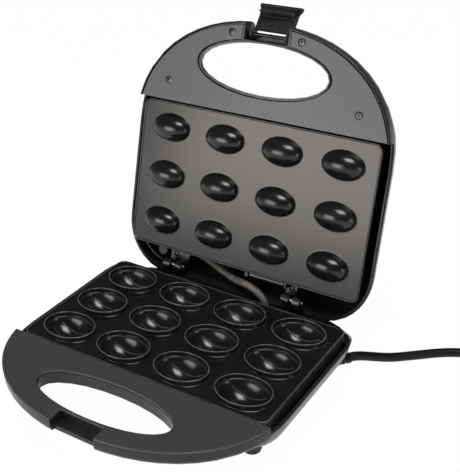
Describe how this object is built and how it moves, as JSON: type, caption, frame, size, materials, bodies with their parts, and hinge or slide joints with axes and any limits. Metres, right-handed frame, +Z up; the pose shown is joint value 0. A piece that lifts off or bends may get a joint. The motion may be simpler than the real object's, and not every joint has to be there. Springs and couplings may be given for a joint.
{
  "type": "walnut cookie maker",
  "caption": "Countertop cooker with a hinged lid: raised oval cups in the lower plate, domes in the upper plate, loop handles and a clip that holds it shut.",
  "frame": {"origin": "on the worktop under the middle of the open cooker, without its cord", "axes": "+Z up, +X to the right seen from the handles, -Y towards the handles"},
  "size_m": [0.4826, 0.2903, 0.2591],
  "materials": {
    "black_shell": "glossy black moulded plastic",
    "satin_panel": "satin charcoal plastic",
    "nonstick": "cast aluminium with a dark non-stick coat",
    "steel": "bright zinc-plated steel",
    "zinc": "pressed plated steel",
    "aluminised": "thin aluminised sheet",
    "rubber": "soft black rubber",
    "cord_black": "black flexible jacket",
    "braid": "braided glass-fibre sleeve",
    "brass": "bare blades",
    "ceramic": "unglazed insulating body",
    "lever": "dark grey moulded plastic",
    "red_lens": "clear red plastic",
    "green_lens": "clear green plastic"
  },
  "bodies": {
    "base": {"base_foot_1": "rubber", "base_foot_2": "rubber", "base_foot_3": "rubber", "base_foot_4": "rubber", "base_handle_cover": "satin_panel", "base_hinge_bracket_left": "zinc", "base_hinge_bracket_right": "zinc", "base_hinge_screw_left": "steel", "base_hinge_screw_right": "steel", "base_housing": "black_shell", "base_screw_1": "steel", "base_screw_2": "steel", "base_screw_3": "steel", "base_screw_4": "steel", "cord_clamp": "zinc", "cord_strain_relief": "cord_black", "cord_tie": "rubber", "hinge_pin_left": "steel", "hinge_pin_right": "steel", "lower_heat_shield": "aluminised", "lower_heater_tube": "steel", "lower_mould_plate": "nonstick", "plug_body": "cord_black", "plug_pin_1": "brass", "plug_pin_2": "brass", "power_cord": "cord_black", "power_cord_coil": "cord_black", "terminal_block": "ceramic", "thermal_fuse": "zinc", "thermostat": "ceramic", "wire_sleeve": "braid"},
    "lid": {"hinge_spring": "steel", "latch_pin": "steel", "lid_handle_panel": "satin_panel", "lid_hinge_bracket_left": "zinc", "lid_hinge_bracket_right": "zinc", "lid_hinge_screw_left": "steel", "lid_hinge_screw_right": "steel", "lid_housing": "black_shell", "lid_panel_screw_1": "steel", "lid_panel_screw_2": "steel", "lid_panel_screw_3": "steel", "lid_panel_screw_4": "steel", "lid_screw_1": "steel", "lid_screw_2": "steel", "lid_screw_3": "steel", "lid_screw_4": "steel", "power_lamp_lens": "red_lens", "ready_lamp_lens": "green_lens", "spring_post": "zinc", "upper_heat_shield": "aluminised", "upper_heater_tube": "steel", "upper_mould_plate": "nonstick"},
    "latch": {"latch_lever": "lever"}
  },
  "joints": [
    {"name": "lid_hinge", "type": "hinge", "parent": "base", "child": "lid", "pos_m": [0, 0.0624, 0.0459], "axis": [1, 0, 0], "range_deg": [0, 106], "deforming": ["wire_sleeve", "hinge_spring"]},
    {"name": "latch_pivot", "type": "hinge", "parent": "lid", "child": "latch", "pos_m": [0, 0.12301, 0.23949], "axis": [1, 0, 0], "range_deg": [0, 114]}
  ]
}
